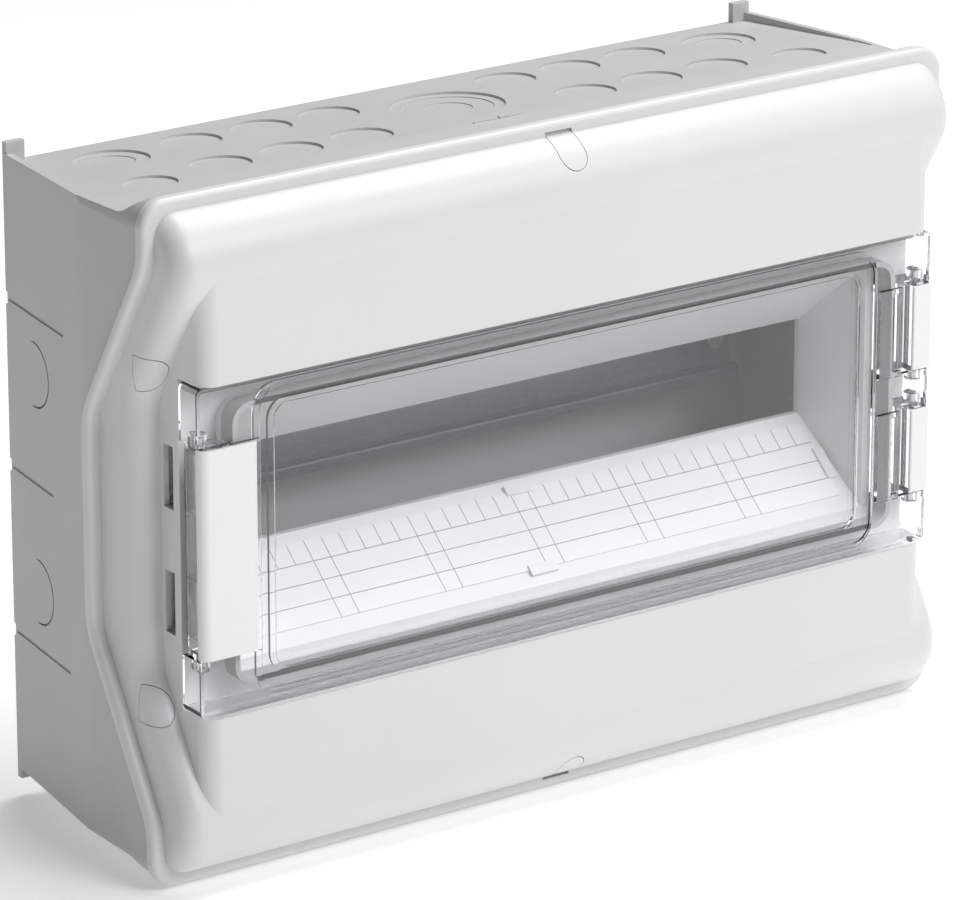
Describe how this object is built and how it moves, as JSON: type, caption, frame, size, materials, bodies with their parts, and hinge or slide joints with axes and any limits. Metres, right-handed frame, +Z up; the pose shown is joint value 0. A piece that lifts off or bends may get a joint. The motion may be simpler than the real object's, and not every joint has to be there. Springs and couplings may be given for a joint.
{
  "type": "distribution box",
  "caption": "Wall-mounted distribution box with a rounded lift-off cover, a clear hinged window door with pull handle, a mounting rail and break-out cable entries.",
  "frame": {"origin": "centre of the flat rear face that lies on the wall", "axes": "+X to the right seen from the front, -Y out of the wall towards the user, +Z up"},
  "size_m": [0.418, 0.1475, 0.305],
  "materials": {
    "housing_rear": "satin light grey",
    "housing_front": "satin light grey",
    "seal": "matte dark grey",
    "door_seal": "matte grey foam",
    "clear_plastic": "clear, polished",
    "clear_lever": "clear, polished",
    "clear_hinge": "clear, polished",
    "cap_plastic": "satin white-grey",
    "rail_steel": "zinc plated",
    "bracket_plastic": "light grey",
    "screw_steel": "zinc plated",
    "pin_steel": "bright",
    "screw_plastic": "grey nylon",
    "label_paper": "printed card"
  },
  "bodies": {
    "base": {"base_box": "housing_rear", "cover_gasket": "seal", "din_rail": "rail_steel", "rail_bracket_left": "bracket_plastic", "rail_bracket_right": "bracket_plastic", "rail_screw_left": "screw_steel", "rail_screw_right": "screw_steel"},
    "cover": {"front_cover": "housing_front", "label_strip": "label_paper", "hinge_block_upper": "clear_hinge", "hinge_block_lower": "clear_hinge", "hinge_cap_upper": "cap_plastic", "hinge_cap_lower": "cap_plastic", "hinge_pin_upper": "pin_steel", "hinge_pin_lower": "pin_steel"},
    "door": {"door_window": "clear_plastic", "door_gasket": "door_seal"},
    "handle": {"handle_lever": "clear_lever", "handle_cap": "cap_plastic"},
    "flap_upper_left": {"screw_flap_upper_left": "housing_front"},
    "screw_upper_left": {"cover_screw_upper_left": "screw_plastic"},
    "flap_lower_left": {"screw_flap_lower_left": "housing_front"},
    "screw_lower_left": {"cover_screw_lower_left": "screw_plastic"},
    "flap_upper_right": {"screw_flap_upper_right": "housing_front"},
    "screw_upper_right": {"cover_screw_upper_right": "screw_plastic"},
    "flap_lower_right": {"screw_flap_lower_right": "housing_front"},
    "screw_lower_right": {"cover_screw_lower_right": "screw_plastic"},
    "flap_top": {"screw_flap_top": "housing_front"},
    "screw_top": {"cover_screw_top": "screw_plastic"},
    "flap_bottom": {"screw_flap_bottom": "housing_front"},
    "screw_bottom": {"cover_screw_bottom": "screw_plastic"}
  },
  "joints": [
    {"name": "cover_lift", "type": "slide", "parent": "base", "child": "cover", "axis": [0, -1, 0], "range_m": [0, 0.12]},
    {"name": "door_hinge", "type": "hinge", "parent": "cover", "child": "door", "pos_m": [0.189, -0.138, 0], "axis": [0, 0, 1], "range_deg": [0, 160]},
    {"name": "handle_pull", "type": "hinge", "parent": "door", "child": "handle", "pos_m": [-0.1894, -0.139, 0], "axis": [0, 0, -1], "range_deg": [0, 12]},
    {"name": "flap_upper_left_hinge", "type": "hinge", "parent": "cover", "child": "flap_upper_left", "pos_m": [-0.203, -0.1112, 0.0735], "axis": [0, 0, -1], "range_deg": [0, 90]},
    {"name": "flap_lower_left_hinge", "type": "hinge", "parent": "cover", "child": "flap_lower_left", "pos_m": [-0.203, -0.1112, -0.0735], "axis": [0, 0, -1], "range_deg": [0, 90]},
    {"name": "flap_upper_right_hinge", "type": "hinge", "parent": "cover", "child": "flap_upper_right", "pos_m": [0.203, -0.1112, 0.0735], "axis": [0, 0, 1], "range_deg": [0, 90]},
    {"name": "flap_lower_right_hinge", "type": "hinge", "parent": "cover", "child": "flap_lower_right", "pos_m": [0.203, -0.1112, -0.0735], "axis": [0, 0, 1], "range_deg": [0, 90]},
    {"name": "flap_top_hinge", "type": "hinge", "parent": "cover", "child": "flap_top", "pos_m": [0, -0.1283, 0.14712], "axis": [-1, 0, 0], "range_deg": [0, 45]},
    {"name": "flap_bottom_hinge", "type": "hinge", "parent": "cover", "child": "flap_bottom", "pos_m": [0, -0.1283, -0.14712], "axis": [1, 0, 0], "range_deg": [0, 45]},
    {"name": "screw_upper_left_turn", "type": "hinge", "parent": "cover", "child": "screw_upper_left", "pos_m": [-0.1961, -0.1, 0.0735], "axis": [0, -1, 0], "range_deg": [0, 90]},
    {"name": "screw_lower_left_turn", "type": "hinge", "parent": "cover", "child": "screw_lower_left", "pos_m": [-0.1961, -0.1, -0.0735], "axis": [0, -1, 0], "range_deg": [0, 90]},
    {"name": "screw_upper_right_turn", "type": "hinge", "parent": "cover", "child": "screw_upper_right", "pos_m": [0.1961, -0.1, 0.0735], "axis": [0, -1, 0], "range_deg": [0, 90]},
    {"name": "screw_lower_right_turn", "type": "hinge", "parent": "cover", "child": "screw_lower_right", "pos_m": [0.1961, -0.1, -0.0735], "axis": [0, -1, 0], "range_deg": [0, 90]},
    {"name": "screw_top_turn", "type": "hinge", "parent": "cover", "child": "screw_top", "pos_m": [0, -0.12, 0.1396], "axis": [0, -1, 0], "range_deg": [0, 90]},
    {"name": "screw_bottom_turn", "type": "hinge", "parent": "cover", "child": "screw_bottom", "pos_m": [0, -0.12, -0.1396], "axis": [0, -1, 0], "range_deg": [0, 90]}
  ]
}
